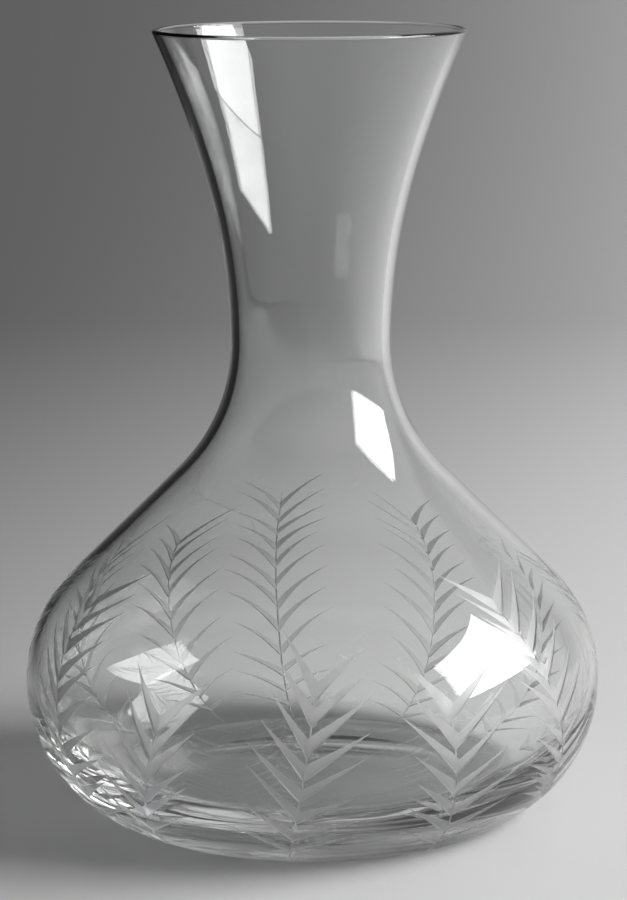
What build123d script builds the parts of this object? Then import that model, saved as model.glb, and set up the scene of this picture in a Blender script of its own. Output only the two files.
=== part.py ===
# A one-piece blown-glass decanter: wide low bowl, narrow waist, flared mouth.
# Millimetres, +Z up. The origin is the centre of the flat base, on the surface it stands on.

import math
import os

from build123d import *

# Driving dimensions of the outside

height = 240.0
foot_diameter = 127.0
bowl_diameter = 178.0
bowl_level = 40.0
waist_diameter = 49.0
waist_level = 145.0
rim_diameter = 94.6

# Curves of the outline: round bowl, hollow waist, slower flare of the throat

bowl_curve = 43.5
waist_curve = 55.0
throat_curve = 187.0
throat_turn = 17.0

# Glass thicknesses: thin at the fire-polished lip, thick at the base

lip_thickness = 1.9
waist_wall = 2.6
bowl_wall = 2.2
base_thickness = 10.0

# Inside, the glass gathers in a heavy heel round the flat floor. The heel turns in by
# heel_turn degrees before its curve opens out into the sweep that lands on the floor.

floor_diameter = 108.0
heel_turn = 60.0

# Underneath, a shallow ground hollow keeps the middle off the table

punt_diameter = 84.0
punt_depth = 1.6
foot_edge_radius = 0.8


def wall_outline(bowl_radius, waist_radius, rim_radius, bowl_inset, waist_inset):
    """The wall from its widest level up to the lip, as a chain of tangent curves.

    The insets are how far the bowl and the waist lie inside the outer surface, so
    that both surfaces turn about the same centres.
    """
    bowl_arc_radius = bowl_curve - bowl_inset
    waist_arc_radius = waist_curve + waist_inset
    throat_arc_radius = throat_curve + waist_inset
    bowl_centre = Vector(bowl_radius - bowl_arc_radius, bowl_level)
    waist_centre = Vector(waist_radius + waist_arc_radius, waist_level)

    # The straight shoulder touches both circles, and its normal leans by this angle
    centre_gap = waist_centre - bowl_centre
    gap_angle = math.atan2(centre_gap.Y, centre_gap.X)
    normal_angle = gap_angle - math.acos((bowl_arc_radius + waist_arc_radius) / centre_gap.length)
    normal = Vector(math.cos(normal_angle), math.sin(normal_angle))

    bowl = JernArc((bowl_radius, bowl_level), (0, 1), bowl_arc_radius, math.degrees(normal_angle))
    shoulder = Line(bowl @ 1, waist_centre - normal * waist_arc_radius)
    TangentArc(shoulder @ 1, (waist_radius, waist_level), tangent=shoulder % 1)
    throat = JernArc((waist_radius, waist_level), (0, 1), throat_arc_radius, -throat_turn)
    TangentArc(throat @ 1, (rim_radius, lip_level), tangent=throat % 1)


foot_radius = foot_diameter / 2
bowl_radius = bowl_diameter / 2
waist_radius = waist_diameter / 2
rim_radius = rim_diameter / 2
punt_radius = punt_diameter / 2
punt_curve = (punt_radius**2 + punt_depth**2) / (2 * punt_depth)

inner_bowl_radius = bowl_radius - bowl_wall
inner_waist_radius = waist_radius - waist_wall
inner_rim_radius = rim_radius - lip_thickness
lip_radius = lip_thickness / 2
lip_level = height - lip_radius

# The heel's curve and the sweep are tangent to each other, to the wall and to the floor

floor_radius = floor_diameter / 2
heel_reach = inner_bowl_radius - floor_radius
heel_drop = bowl_level - base_thickness
turn_cos = math.cos(math.radians(heel_turn))
turn_sin = math.sin(math.radians(heel_turn))
heel_curve = (heel_drop * turn_cos - heel_reach * (1 - turn_sin)) / (turn_cos + turn_sin - 1)

# The body: half of its cross-section, turned once round the axis

with BuildPart() as decanter_body:
    with BuildSketch(Plane.XZ) as section:
        with BuildLine():
            TangentArc((bowl_radius, bowl_level), (foot_radius, 0), tangent=(0, -1))
            wall_outline(bowl_radius, waist_radius, rim_radius, 0, 0)
            ThreePointArc(
                (rim_radius, lip_level), (rim_radius - lip_radius, height), (inner_rim_radius, lip_level)
            )
            wall_outline(inner_bowl_radius, inner_waist_radius, inner_rim_radius, bowl_wall, waist_wall)
            heel = JernArc((inner_bowl_radius, bowl_level), (0, -1), heel_curve, -heel_turn)
            TangentArc(heel @ 1, (floor_radius, base_thickness), tangent=heel % 1)
            Polyline((floor_radius, base_thickness), (0, base_thickness), (0, 0), (foot_radius, 0))
        make_face()
        foot_corner = section.vertices().sort_by_distance((foot_radius, 0))[0]
        fillet(foot_corner, radius=foot_edge_radius)
    revolve(axis=Axis.Z)
    with Locations((0, 0, punt_depth - punt_curve)):
        Sphere(punt_curve, mode=Mode.SUBTRACT)

decanter_body.part.label = "decanter_body"

os.makedirs("parts", exist_ok=True)
export_step(decanter_body.part, "parts/decanter_body.step")
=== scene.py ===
# A one-piece blown-glass decanter with wheel-cut leaf sprays, on a pale floor with painted shade.
# Metres, +Z up. The origin is the centre of the flat base, on the floor.

import math
import random

import bpy
import numpy as np
from mathutils import Matrix, Vector


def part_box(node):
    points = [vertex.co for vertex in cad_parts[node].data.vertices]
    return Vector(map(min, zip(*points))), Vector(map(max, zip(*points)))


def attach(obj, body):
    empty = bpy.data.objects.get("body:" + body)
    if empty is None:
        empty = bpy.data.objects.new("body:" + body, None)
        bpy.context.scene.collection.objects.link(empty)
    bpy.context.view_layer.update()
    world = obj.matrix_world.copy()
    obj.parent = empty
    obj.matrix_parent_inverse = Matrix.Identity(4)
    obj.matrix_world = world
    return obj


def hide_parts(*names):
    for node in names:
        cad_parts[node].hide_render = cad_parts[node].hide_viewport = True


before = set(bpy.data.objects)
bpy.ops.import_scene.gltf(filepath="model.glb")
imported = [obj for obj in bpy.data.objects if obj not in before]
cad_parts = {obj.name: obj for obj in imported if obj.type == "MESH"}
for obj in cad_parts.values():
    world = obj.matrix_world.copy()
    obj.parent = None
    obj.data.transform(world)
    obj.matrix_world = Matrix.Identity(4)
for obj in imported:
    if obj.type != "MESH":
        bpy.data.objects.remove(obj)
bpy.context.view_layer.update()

# Sizes taken from the frame

MM = 0.001
cad_low, cad_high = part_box("decanter_body")
height = cad_high.z
bowl_diameter = round(cad_high.x - cad_low.x, 3)

# The outline of the glass, with the same named sizes as the solid

foot_diameter = 127 * MM
bowl_level = 40 * MM
waist_diameter = 49 * MM
waist_level = 145 * MM
rim_diameter = 94.6 * MM
bowl_curve = 43.5 * MM
waist_curve = 55 * MM
throat_curve = 187 * MM
throat_turn = math.radians(17)
lip_thickness = 1.9 * MM
waist_wall = 2.6 * MM
bowl_wall = 2.2 * MM
base_thickness = 10 * MM
floor_diameter = 108 * MM
heel_turn = math.radians(60)
punt_diameter = 84 * MM
punt_depth = 1.6 * MM
foot_edge_radius = 0.8 * MM

# How finely the glass is meshed

segments = 240
outer_step = 2.0 * MM
inner_step = 3.0 * MM
flat_step = 3 * MM
foot_edge_step = 0.3 * MM
lip_step = 0.25 * MM

# The normals are eased over this much of the outline each side of a joint

ease_reach = 8 * MM
least_reach = 0.1 * MM
ease_samples = 4000


def arc(centre, radius, start, end, step, hollow=False):
    """Points and normals (r, z, nr, nz) along an arc; a hollow arc's normal looks to its centre."""
    count = max(3, math.ceil(abs(end - start) * radius / step))
    angles = np.linspace(start, end, count + 1)
    ray = np.column_stack([np.cos(angles), np.sin(angles)])
    side = -1 if hollow else 1
    return np.hstack([np.array(centre) + radius * ray, side * ray])


def straight(start, end, normal, step):
    """Points and normals along a straight run."""
    start, end = np.array(start), np.array(end)
    count = max(1, math.ceil(np.linalg.norm(end - start) / step))
    places = start + np.linspace(0, 1, count + 1)[:, None] * (end - start)
    return np.hstack([places, np.tile(normal, (count + 1, 1))])


def wall(bowl_radius, waist_radius, rim_radius, bowl_inset, waist_inset, step, inner):
    """The wall from its widest level up to the lip: bowl, shoulder, waist, throat and flare."""
    bowl_arc = bowl_curve - bowl_inset
    waist_arc = waist_curve + waist_inset
    throat_arc = throat_curve + waist_inset
    bowl_centre = np.array([bowl_radius - bowl_arc, bowl_level])
    waist_centre = np.array([waist_radius + waist_arc, waist_level])
    gap = waist_centre - bowl_centre
    lean = math.atan2(gap[1], gap[0]) - math.acos((bowl_arc + waist_arc) / np.linalg.norm(gap))
    normal = np.array([math.cos(lean), math.sin(lean)])
    throat_centre = np.array([waist_radius + throat_arc, waist_level])
    across = np.array([math.cos(throat_turn), -math.sin(throat_turn)])
    throat_end = throat_centre - throat_arc * across

    # The flare goes on tangent to the throat and ends at the lip
    to_rim = np.array([rim_radius, lip_level]) - throat_end
    flare_arc = to_rim.dot(to_rim) / (2 * to_rim.dot(across))
    flare_centre = throat_end + flare_arc * across
    rim_angle = math.atan2(lip_level - flare_centre[1], rim_radius - flare_centre[0])

    sign = -1 if inner else 1
    shoulder_low = bowl_centre + bowl_arc * normal
    shoulder_high = waist_centre - waist_arc * normal
    turn_end = math.pi - throat_turn
    return [
        arc(bowl_centre, bowl_arc, 0, lean, step, hollow=inner),
        straight(shoulder_low, shoulder_high, sign * normal, step),
        arc(waist_centre, waist_arc, math.pi + lean, math.pi, step, hollow=not inner),
        arc(throat_centre, throat_arc, math.pi, turn_end, step, hollow=not inner),
        arc(flare_centre, flare_arc, turn_end, rim_angle, step, hollow=not inner),
    ]


def joined(runs):
    """The runs as one path, and how far along it each point lies."""
    path = np.vstack([runs[0]] + [run[1:] for run in runs[1:]])
    steps = np.hypot(np.diff(path[:, 0]), np.diff(path[:, 1]))
    return path, np.concatenate([[0], np.cumsum(steps)])


def thickened(runs, thin, thick):
    """The inner side of these outer runs, set in by a thickness that grows smoothly along them."""
    path, along = joined(runs)
    share = along / along[-1]
    depth = thin + (thick - thin) * share**2 * (3 - 2 * share)
    growth = (thick - thin) * 6 * share * (1 - share) / along[-1]
    normal = path[:, 2:]
    ahead = np.column_stack([-normal[:, 1], normal[:, 0]])
    inward = -(normal + growth[:, None] * ahead)
    inward /= np.linalg.norm(inward, axis=1)[:, None]
    return np.hstack([path[:, :2] - depth[:, None] * normal, inward])


def backwards(runs):
    """The same runs, followed the other way."""
    return [run[::-1] for run in reversed(runs)]


def eased(runs):
    """The same runs with normals eased over the joints, since blown glass has no sudden bend."""
    path, along = joined(runs)
    turn = np.unwrap(np.arctan2(path[:, 3], path[:, 2]))
    fine = np.linspace(0, along[-1], ease_samples)
    fine_turn = np.interp(fine, along, turn)
    areas = (fine_turn[1:] + fine_turn[:-1]) / 2 * np.diff(fine)
    total = np.concatenate([[0], np.cumsum(areas)])

    # Each normal's turn is the mean over its reach, which shrinks to nothing at the ends
    width = np.minimum(ease_reach, np.minimum(along, along[-1] - along))
    inside = width > least_reach
    spread = np.interp(along + width, fine, total) - np.interp(along - width, fine, total)
    turn[inside] = spread[inside] / (2 * width[inside])
    path[:, 2:] = np.column_stack([np.cos(turn), np.sin(turn)])
    ends = np.cumsum([len(run) - 1 for run in runs])
    return [path[end - len(run) + 1:end + 1] for run, end in zip(runs, ends)]


bowl_radius = bowl_diameter / 2
foot_radius = foot_diameter / 2
waist_radius = waist_diameter / 2
rim_radius = rim_diameter / 2
punt_radius = punt_diameter / 2
lip_radius = lip_thickness / 2
lip_level = height - lip_radius
floor_radius = floor_diameter / 2


def glass_outline():
    """Half of the cross-section as runs, from the axis under the base to the axis on the floor."""
    quarter = math.pi / 2
    punt_curve = (punt_radius**2 + punt_depth**2) / (2 * punt_depth)
    punt_turn = math.asin(punt_radius / punt_curve)
    punt_centre = np.array([0, punt_depth - punt_curve])

    # The lower bowl is one arc, rounded off where it meets the table
    foot_inset = bowl_radius - foot_radius
    lower_curve = (foot_inset**2 + bowl_level**2) / (2 * foot_inset)
    lower_centre = np.array([bowl_radius - lower_curve, bowl_level])
    edge_rise = foot_edge_radius - bowl_level
    edge_reach = math.sqrt((lower_curve - foot_edge_radius) ** 2 - edge_rise**2)
    edge_centre = lower_centre + np.array([edge_reach, edge_rise])
    edge_turn = math.atan2(edge_rise, edge_reach)
    foot_edge = arc(edge_centre, foot_edge_radius, -quarter, edge_turn, foot_edge_step)

    # Inside, the heel's curve and the sweep to the floor are tangent to each other
    heel_reach = bowl_radius - bowl_wall - floor_radius
    heel_drop = bowl_level - base_thickness
    cos, sin = math.cos(heel_turn), math.sin(heel_turn)
    heel_curve = (heel_drop * cos - heel_reach * (1 - sin)) / (cos + sin - 1)
    sweep_curve = (heel_reach * sin - heel_drop * (1 - cos)) / (cos + sin - 1)
    heel_centre = (bowl_radius - bowl_wall - heel_curve, bowl_level)
    sweep_centre = (floor_radius, base_thickness + sweep_curve)
    lip_centre = (rim_radius - lip_radius, lip_level)
    outer = wall(bowl_radius, waist_radius, rim_radius, 0, 0, outer_step, False)
    inner = wall(
        bowl_radius - bowl_wall, waist_radius - waist_wall, rim_radius - lip_thickness,
        bowl_wall, waist_wall, inner_step, True,
    )
    inner[:2] = [thickened(outer[:2], bowl_wall, waist_wall)]
    return [
        arc(punt_centre, punt_curve, quarter, quarter - punt_turn, flat_step, hollow=True),
        straight((punt_radius, 0), (foot_edge[0, 0], 0), (0, -1), flat_step),
        foot_edge,
        *eased([arc(lower_centre, lower_curve, edge_turn, 0, outer_step), *outer]),
        arc(lip_centre, lip_radius, 0, math.pi, lip_step),
        *eased([
            *backwards(inner),
            arc(heel_centre, heel_curve, 0, -heel_turn, inner_step, hollow=True),
            arc(sweep_centre, sweep_curve, -heel_turn, -quarter, inner_step, hollow=True),
        ]),
        straight((floor_radius, base_thickness), (0, base_thickness), (0, 1), flat_step),
    ]


def turned_mesh(name, runs):
    """The runs turned round the axis into a closed mesh, with each corner's exact normal kept."""
    rows = [runs[0][0]]
    faces_along = []
    for run in runs:
        for before, after in zip(run[:-1], run[1:]):
            faces_along.append((before[2:], after[2:]))
            rows.append(after)
    rows = np.array(rows)
    ring = rows[1:-1]
    turn = np.arange(segments) * 2 * math.pi / segments
    cos, sin = np.cos(turn), np.sin(turn)
    levels = np.repeat(ring[:, 1, None], segments, axis=1)
    points = np.stack([ring[:, 0, None] * cos, ring[:, 0, None] * sin, levels], axis=-1)
    points = points.reshape(-1, 3)
    low_pole, high_pole = len(points), len(points) + 1
    points = np.vstack([points, [0, 0, rows[0, 1]], [0, 0, rows[-1, 1]]])
    faces = []
    normals = []

    def spun(normal, k):
        """A normal of the outline, turned round to segment k."""
        return (normal[0] * cos[k], normal[0] * sin[k], normal[1])

    last_row = (len(ring) - 1) * segments
    for i, (before, after) in enumerate(faces_along):
        for k in range(segments):
            j = (k + 1) % segments
            if i == 0:
                faces.append((low_pole, j, k))
                normals += [spun(before, k), spun(after, j), spun(after, k)]
            elif i == len(faces_along) - 1:
                faces.append((last_row + k, last_row + j, high_pole))
                normals += [spun(before, k), spun(before, j), spun(after, k)]
            else:
                a, b = (i - 1) * segments, i * segments
                faces.append((a + k, a + j, b + j, b + k))
                normals += [spun(before, k), spun(before, j), spun(after, j), spun(after, k)]
    mesh = bpy.data.meshes.new(name)
    mesh.from_pydata(points.tolist(), [], faces)
    kept = mesh.attributes.new("exact_normal", "FLOAT_VECTOR", "CORNER")
    kept.data.foreach_set("vector", np.array(normals, np.float32).ravel())
    mesh.update()
    return mesh


# The cut sprays. A wheel held aslant cuts each leaf as a broad flat face with one steep side.
# Each row gives where the stem stands on the foot and where its tip leans to, in degrees round
# from the front, how many millimetres up the surface from the foot its highest leaves grow, and
# how many degrees those lean away from the stem, to the left and to the right

SPRAYS = (
    (-6.5, 1.2, 66, 27, 48),
    (31.3, 26.4, 57, 36, 47),
    (69, 46, 86, 42, 44),
    (93, 88, 84, 40, 42),
    (122, 119, 84, 43, 42),
    (154, 150, 90, 42, 40),
    (-174, -170.5, 96, 42, 44),
    (-153, -143, 81, 42, 42),
    (-121, -118, 84, 40, 43),
    (-88, -90, 84, 42, 40),
    (-54, -62, 84, 42, 44),
    (-42.5, -29, 53, 25, 42),
)

# From the highest leaves to the lowest, they lean out by lean_gain degrees more and are shorter
# by the share low_shortening. Sprays further round than far_degrees have narrower leaves that
# bend more

far_degrees = 95
leaf_length = 27.5 * MM
leaf_pitch = 7.7 * MM
leaf_depth = 0.64 * MM
leaf_stations = 16
lean_gain = 20
lean_curl = 1.4
low_shortening = 0.22
first_root = 5 * MM
face_slope = math.radians(8.5)
far_face_slope = math.radians(17)
steep_slope = math.radians(62)
leaf_bend = math.radians(6)
far_leaf_bend = math.radians(30)

# A leaf is cut less deep at its blunt root, deepest just past it, and thins out to its tip

cut_swell = 1.25
cut_taper = 1.4
root_relief = 0.65
root_fade = 0.05

# No two leaves are alike: their roots stray by millimetres and their angles by degrees, and
# their lengths and depths are spread between two shares

root_stray = 0.9
angle_stray = 3.5
length_spread = (0.88, 1.08)
depth_spread = (0.8, 1.1)

# The stems

stem_start = 1.5 * MM
stem_fade = 4 * MM
stem_tip = 11 * MM
stem_depth = 0.34 * MM
stem_slope = math.radians(48)
stem_curl = 1.2
stem_stations = 44

# The cutters stand proud of the glass, and their thin ends rise clear of it

proud = 0.35 * MM
end_lift = 0.02 * MM


def leaf_cut(share):
    """How deep the wheel goes, as a share, along a leaf from its blunt root to its sharp tip."""
    relief = root_relief * math.exp(-share / root_fade)
    return cut_swell * (1 - share) ** cut_taper * (1 - relief)


runs = glass_outline()
outer_path, outer_length = joined(runs[2:9])


def on_surface(degrees, along):
    """The point and normal of the outer surface, so far round and so far up from the foot."""
    r, z, nr, nz = (np.interp(along, outer_length, outer_path[:, k]) for k in range(4))
    a = math.radians(degrees)
    out = Vector((math.sin(a), -math.cos(a), 0))
    return out * r + Vector((0, 0, z)), (out * nr + Vector((0, 0, nz))).normalized()


def surface_radius(along):
    """How far the outer surface is from the axis, so far up from the foot."""
    return float(np.interp(along, outer_length, outer_path[:, 0]))


def spray_line(foot, tip, reach, along):
    """The degrees round at a place along a spray's stem, which bends most near its foot."""
    share = min(1.0, max(0.0, along / reach))
    return tip + (foot - tip) * (1 - share) ** stem_curl


def groove(stations):
    """A closed wedge through the surface.

    Each station is a point, its normal, the way across to the broad face, the depth, and the
    slopes of the broad face and of the steep one.
    """
    points = []
    faces = []
    for place, normal, across, depth, broad, steep in stations:
        bottom = place - normal * depth
        rise = depth + proud
        top = place + normal * proud
        points.append(bottom)
        points.append(top + across * (rise / math.tan(broad)))
        points.append(top - across * (rise / math.tan(steep)))
    for i in range(len(stations) - 1):
        a, b = 3 * i, 3 * i + 3
        for j in range(3):
            k = (j + 1) % 3
            faces.append((a + j, a + k, b + k, b + j))
    end = 3 * len(stations) - 3
    faces.append((2, 1, 0))
    faces.append((end, end + 1, end + 2))
    return points, faces


def leaf(root_degrees, root_along, angle, side, length, depth, bend, broad):
    """One leaf, from its root on the stem off to one side, bending as it goes over the surface."""
    places = [(root_degrees, root_along)]
    step = length / leaf_stations
    for n in range(leaf_stations + 1):
        degrees, along = places[-1]
        heading = angle + bend * (n / leaf_stations - 0.5)
        turn = math.degrees(math.sin(heading) * step / surface_radius(along))
        places.append((degrees + side * turn, along + math.cos(heading) * step))
    stations = []
    for n in range(leaf_stations + 1):
        here, normal = on_surface(*places[n])
        ahead, _ = on_surface(*places[n + 1])
        across = normal.cross(ahead - here).normalized() * side
        cut = depth * leaf_cut(n / leaf_stations) - end_lift
        stations.append((here, normal, across, cut, broad, steep_slope))
    return stations


def stem(foot, tip, last_root):
    """The stem of a spray: a fine groove from the foot that thins out past the last leaves."""
    reach = last_root + stem_tip
    stations = []
    for n in range(stem_stations + 1):
        along = stem_start + (reach - stem_start) * n / stem_stations
        here, normal = on_surface(spray_line(foot, tip, reach, along), along)
        ahead, _ = on_surface(spray_line(foot, tip, reach, along + MM), along + MM)
        across = normal.cross(ahead - here).normalized()
        ends = min(1.0, along / stem_fade, (reach - along) / stem_tip)
        cut = stem_depth * ends - end_lift
        stations.append((here, normal, across, cut, stem_slope, stem_slope))
    return stations


def sprays():
    """All grooves in sets whose members stay clear of one another: stems, then leaves by turns."""
    rng = random.Random(7)
    sets = [[] for _ in range(5)]
    for foot, tip, top, left_lean, right_lean in SPRAYS:
        last_root = top * MM
        far = abs(tip) > far_degrees
        bend = far_leaf_bend if far else leaf_bend
        broad = far_face_slope if far else face_slope
        sets[0].append(stem(foot, tip, last_root))
        roots = int((last_root - first_root) / leaf_pitch) + 1
        for side, lean in ((-1, left_lean), (1, right_lean)):
            for n in range(roots):
                along = last_root - n * leaf_pitch + rng.uniform(-root_stray, root_stray) * MM
                share = n / (roots - 1)
                leant = lean + lean_gain * share**lean_curl
                angle = math.radians(leant + rng.uniform(-angle_stray, angle_stray))
                whole = leaf_length * (1 - low_shortening * share**3)
                length = whole * rng.uniform(*length_spread)
                depth = leaf_depth * rng.uniform(*depth_spread)
                root = spray_line(foot, tip, last_root + stem_tip, along)
                which = 1 + (side > 0) * 2 + n % 2
                sets[which].append(leaf(root, along, angle, side, length, depth, bend, broad))
    return sets


def signed_volume(mesh):
    """The volume inside the mesh, negative where its faces look inwards."""
    total = 0.0
    for face in mesh.polygons:
        corners = [mesh.vertices[i].co for i in face.vertices]
        for i in range(1, len(corners) - 1):
            total += corners[0].dot(corners[i].cross(corners[i + 1]))
    return total / 6


def cutter(name, members, material):
    """One object that holds a set of wedges, with its faces looking outwards."""
    points = []
    faces = []
    for stations in members:
        new_points, new_faces = groove(stations)
        start = len(points)
        points += new_points
        faces += [tuple(start + i for i in face) for face in new_faces]
    mesh = bpy.data.meshes.new(name)
    mesh.from_pydata(points, [], faces)
    mesh.materials.append(material)
    mesh.update()
    obj = bpy.data.objects.new(name, mesh)
    bpy.context.scene.collection.objects.link(obj)
    if signed_volume(mesh) < 0:
        mesh.flip_normals()
    return obj


def linked(nodes, links, kind, inputs=(), **settings):
    """A new node with its settings made and its inputs linked or set."""
    node = nodes.new(kind)
    for name, value in settings.items():
        setattr(node, name, value)
    for socket, value in dict(inputs).items():
        if isinstance(value, bpy.types.NodeSocket):
            links.new(value, node.inputs[socket])
        else:
            node.inputs[socket].default_value = value
    return node


def ranged(nodes, links, value, start, end, **settings):
    """A value carried over to another range; start and end each pair a value with its result."""
    inputs = {
        "Value": value,
        "From Min": start[0], "To Min": start[1],
        "From Max": end[0], "To Max": end[1],
    }
    return linked(nodes, links, "ShaderNodeMapRange", inputs, **settings).outputs["Result"]


def worked(nodes, links, operation, *values):
    """The result of a Math node."""
    inputs = dict(enumerate(values))
    return linked(nodes, links, "ShaderNodeMath", inputs, operation=operation).outputs["Value"]


def dotted(nodes, links, vector, onto):
    """How far a vector reaches along another."""
    inputs = {0: vector, 1: onto}
    node = linked(nodes, links, "ShaderNodeVectorMath", inputs, operation="DOT_PRODUCT")
    return node.outputs["Value"]


def noise(nodes, links, place, scale, detail, roughness):
    """Plain noise, from 0 to 1."""
    inputs = {"Vector": place, "Scale": scale, "Detail": detail, "Roughness": roughness}
    return linked(nodes, links, "ShaderNodeTexNoise", inputs).outputs["Fac"]


def bumped(nodes, links, shader, relief, strength, distance):
    """Bumps on the shader from a relief."""
    inputs = {"Height": relief, "Strength": strength, "Distance": distance}
    bump = linked(nodes, links, "ShaderNodeBump", inputs)
    links.new(bump.outputs["Normal"], shader.inputs["Normal"])


def new_material(name, constants):
    """A material with constants on its shader, and what its nodes are made from."""
    material = bpy.data.materials.new(name)
    material.use_nodes = True
    nodes, links = material.node_tree.nodes, material.node_tree.links
    shader = nodes["Principled BSDF"]
    for socket, value in constants.items():
        shader.inputs[socket].default_value = value
    place = linked(nodes, links, "ShaderNodeTexCoord").outputs["Object"]
    return material, nodes, links, shader, place


def clear_glass():
    """Clear colourless glass, with the faint ripple of blown glass and a scuffed resting ring."""
    constants = {"Base Color": (0.985, 0.99, 0.988, 1), "IOR": 1.5, "Transmission Weight": 1.0}
    material, nodes, links, shader, place = new_material("blown_glass", constants)

    # Blown glass ripples a little, more along the neck than round it
    stretch = {"Vector": place, "Scale": (30, 30, 17)}
    drawn = linked(nodes, links, "ShaderNodeMapping", stretch).outputs["Vector"]
    ripple = noise(nodes, links, drawn, scale=1.0, detail=2.0, roughness=0.35)
    bumped(nodes, links, shader, ripple, strength=1.0, distance=0.16 * MM)

    # The ring that it rests on is dulled by fine scuffs
    level = linked(nodes, links, "ShaderNodeSeparateXYZ", {"Vector": place}).outputs["Z"]
    near_table = ranged(nodes, links, level, start=(0.12 * MM, 0.0), end=(0.02 * MM, 1.0))
    scuffs = noise(nodes, links, place, scale=900.0, detail=4.0, roughness=0.7)
    worn = ranged(nodes, links, scuffs, start=(0.42, 0.0), end=(0.66, 0.35))
    dulled = worked(nodes, links, "MULTIPLY", near_table, worn)
    links.new(dulled, shader.inputs["Roughness"])
    return material


def cut_glass():
    """The ground face that the wheel leaves: matte and a little cloudy, with fine grain."""
    constants = {"IOR": 1.5, "Transmission Weight": 0.86}
    material, nodes, links, shader, place = new_material("ground_glass", constants)
    cloud = noise(nodes, links, place, scale=260.0, detail=3.0, roughness=0.6)
    tone = ranged(nodes, links, cloud, start=(0.3, 0.86), end=(0.7, 0.97))
    links.new(tone, shader.inputs["Base Color"])
    matte = ranged(nodes, links, cloud, start=(0.3, 0.46), end=(0.7, 0.34))
    links.new(matte, shader.inputs["Roughness"])
    grain = noise(nodes, links, place, scale=2600.0, detail=2.0, roughness=0.7)
    bumped(nodes, links, shader, grain, strength=0.5, distance=0.05 * MM)
    return material


def floor_with_painted_shade():
    """A pale floor with painted shade: its colour falls off to the left, to the back and in front,
    as the light would fall off away from the window on the right.
    """
    constants = {"Roughness": 0.8, "Specular IOR Level": 0.2}
    material, nodes, links, shader, place = new_material("floor_with_painted_shade", constants)

    # Painted shade: the colour falls off exponentially to the left and to the back, between two
    # soft limits, as light falls off away from the window
    highest, high_softness = 0.05, 0.3
    lowest, low_softness = -1.3, 0.4
    power = dotted(nodes, links, place, (2.36, -0.7, 0.0))
    capped = worked(nodes, links, "SMOOTH_MIN", power, highest, high_softness)
    kept = worked(nodes, links, "SMOOTH_MAX", capped, lowest, low_softness)
    painted_falloff = worked(nodes, links, "EXPONENT", kept)

    # Painted shade: it is darker still well out to the left, where the room is dim and the
    # decanter's shadow falls, and in front, where the room is dim too
    smooth = {"interpolation_type": "SMOOTHSTEP"}
    rightward = dotted(nodes, links, place, (1.0, 0.107, 0.0))
    left = ranged(nodes, links, rightward, start=(-0.3, 0.09), end=(-0.09, 0.58), **smooth)
    backward = linked(nodes, links, "ShaderNodeSeparateXYZ", {"Vector": place}).outputs["Y"]
    front = ranged(nodes, links, backward, start=(-0.45, 0.2), end=(-0.1, 1.0), **smooth)
    painted_edge_shade = worked(nodes, links, "MULTIPLY", left, front)
    # The floor's whole colour is this painted shade, and it is pale only where the light is
    # strongest
    colour = worked(nodes, links, "MULTIPLY", painted_falloff, painted_edge_shade)
    links.new(colour, shader.inputs["Base Color"])
    return material


def read_numbers(items, name, kind, width=1):
    """One attribute of every item as an array, with a row for each item where it is a vector."""
    values = np.zeros(len(items) * width, kind)
    items.foreach_get(name, values)
    return values.reshape(-1, width) if width > 1 else values


def set_normals(mesh):
    """Exact normals on what is left of the turned surface, and flat ones on the cut faces."""
    exact = read_numbers(mesh.attributes["exact_normal"].data, "vector", np.float32, 3)
    flat = read_numbers(mesh.polygons, "normal", np.float32, 3)
    corners = read_numbers(mesh.polygons, "loop_total", np.int32)
    flat = np.repeat(flat, corners, axis=0)

    # The cutters carry no exact normal, so the corners of a cut face have one of no length
    length = np.linalg.norm(exact, axis=1)[:, None]
    turned = length > 0.5
    normals = np.where(turned, exact / np.maximum(length, 1e-9), flat)
    mesh.polygons.foreach_set("use_smooth", np.ones(len(mesh.polygons), bool))
    mesh.normals_split_custom_set(normals.tolist())


# The glass: the turned body with the grooves cut out of it

glass = clear_glass()
ground = cut_glass()
body_mesh = turned_mesh("decanter_glass", runs)
body_mesh.materials.append(glass)
body_mesh.materials.append(ground)
decanter = bpy.data.objects.new("decanter_glass", body_mesh)
bpy.context.scene.collection.objects.link(decanter)
cutters = [cutter(f"cut_{n}", members, ground) for n, members in enumerate(sprays())]
for tool in cutters:
    cut = decanter.modifiers.new("cut", "BOOLEAN")
    cut.operation = "DIFFERENCE"
    cut.solver = "MANIFOLD"
    cut.material_mode = "TRANSFER"
    cut.object = tool
cut_mesh = bpy.data.meshes.new_from_object(
    decanter.evaluated_get(bpy.context.evaluated_depsgraph_get())
)
decanter.modifiers.clear()
decanter.data = cut_mesh
for tool in cutters:
    bpy.data.objects.remove(tool)
set_normals(cut_mesh)

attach(decanter, "root")
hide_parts("decanter_body")

# The floor sweeps up into a backdrop. It lies a hair under the base, because the two faces
# must not share one plane

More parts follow.
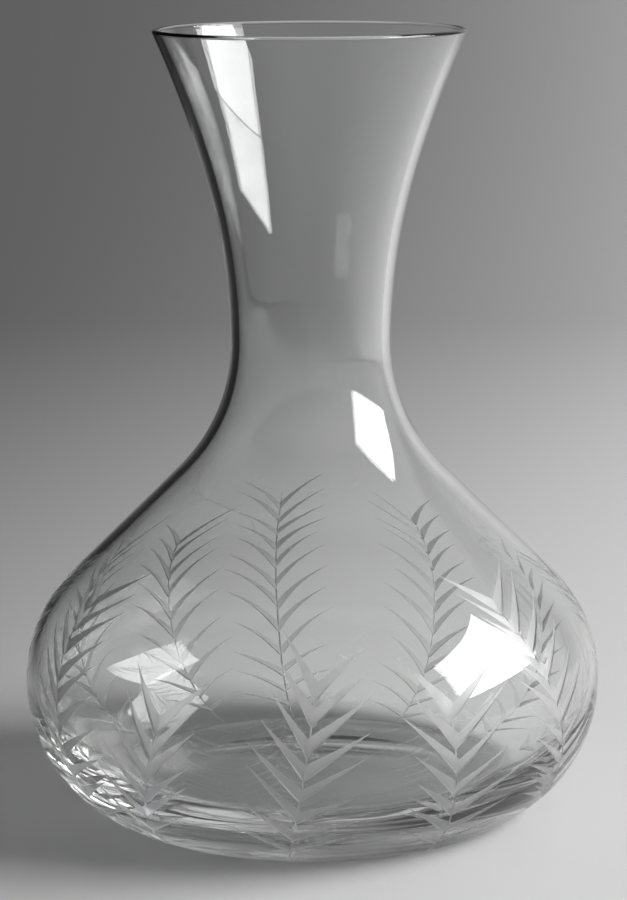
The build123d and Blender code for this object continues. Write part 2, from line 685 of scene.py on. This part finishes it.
floor_reach = 1.0
floor_level = -0.3 * MM
sweep_radius = 0.7
sweep_steps = 24
wall_height = 2.4
front_reach = -3.0
sweep_left = -2.5
sweep_right = 2.5
sweep = [(front_reach, floor_level), (floor_reach, floor_level)]
for n in range(1, sweep_steps + 1):
    a = math.pi / 2 * n / sweep_steps
    rise = sweep_radius * (1 - math.cos(a))
    sweep.append((floor_reach + sweep_radius * math.sin(a), floor_level + rise))
sweep.append((floor_reach + sweep_radius, wall_height))
floor_points = []
for y, z in sweep:
    floor_points += [(sweep_left, y, z), (sweep_right, y, z)]
floor_faces = [(2 * i, 2 * i + 1, 2 * i + 3, 2 * i + 2) for i in range(len(sweep) - 1)]
floor_mesh = bpy.data.meshes.new("floor")
floor_mesh.from_pydata(floor_points, [], floor_faces)
floor_mesh.materials.append(floor_with_painted_shade())
floor_mesh.polygons.foreach_set("use_smooth", np.ones(len(floor_faces), bool))
floor = bpy.data.objects.new("floor", floor_mesh)
bpy.context.scene.collection.objects.link(floor)

# Soft light: a room that is dim on the left and bright on the right, and a window on the right

world = bpy.data.worlds.new("room")
world.use_nodes = True
nodes, links = world.node_tree.nodes, world.node_tree.links
direction = linked(nodes, links, "ShaderNodeTexCoord").outputs["Generated"]
brightest_way = (0.86, 0.12, 0.5)
towards = dotted(nodes, links, direction, brightest_way)
smooth = {"interpolation_type": "SMOOTHSTEP"}
level = ranged(nodes, links, towards, start=(-0.4, 0.03), end=(0.85, 0.5), **smooth)
links.new(level, nodes["Background"].inputs["Color"])
bpy.context.scene.world = world


def window(name, front, back, sill, top, radiance):
    """A window over the line between two places on the floor, as a soft area light."""
    front, back = Vector((*front, 0)), Vector((*back, 0))
    along = (back - front).normalized()
    up = Vector((0, 0, 1))
    light = bpy.data.lights.new(name, "AREA")
    light.shape = "RECTANGLE"
    light.size = (back - front).length
    light.size_y = top - sill
    light.energy = radiance * math.pi * light.size * light.size_y
    lamp = bpy.data.objects.new(name, light)
    turned = Matrix((along, up, along.cross(up))).transposed().to_4x4()
    lamp.matrix_world = Matrix.Translation((front + back) / 2 + up * (sill + top) / 2) @ turned
    bpy.context.scene.collection.objects.link(lamp)


window("window_right", front=(2.18, -1.26), back=(1.93, 0.52), sill=0.6, top=2.1, radiance=13)

# The camera, where the photograph was taken from

camera_data = bpy.data.cameras.new("camera")
camera_data.sensor_fit = "VERTICAL"
camera_data.sensor_height = 36
camera_data.lens = 119.5
camera = bpy.data.objects.new("camera", camera_data)
camera_place = (0.65 * MM, -903.4 * MM, 286.6 * MM)
camera_pitch = math.radians(10.99)
camera_roll = math.radians(-0.27)
camera.matrix_world = (
    Matrix.Translation(camera_place)
    @ Matrix.Rotation(math.pi / 2 - camera_pitch, 4, "X")
    @ Matrix.Rotation(camera_roll, 4, "Z")
)
bpy.context.scene.collection.objects.link(camera)
bpy.context.scene.camera = camera

# Enough bounces for light to cross every wall of the glass

scene = bpy.context.scene
scene.view_settings.view_transform = "Standard"
scene.cycles.max_bounces = 24
scene.cycles.transmission_bounces = 24
scene.cycles.glossy_bounces = 12

bpy.context.view_layer.update()
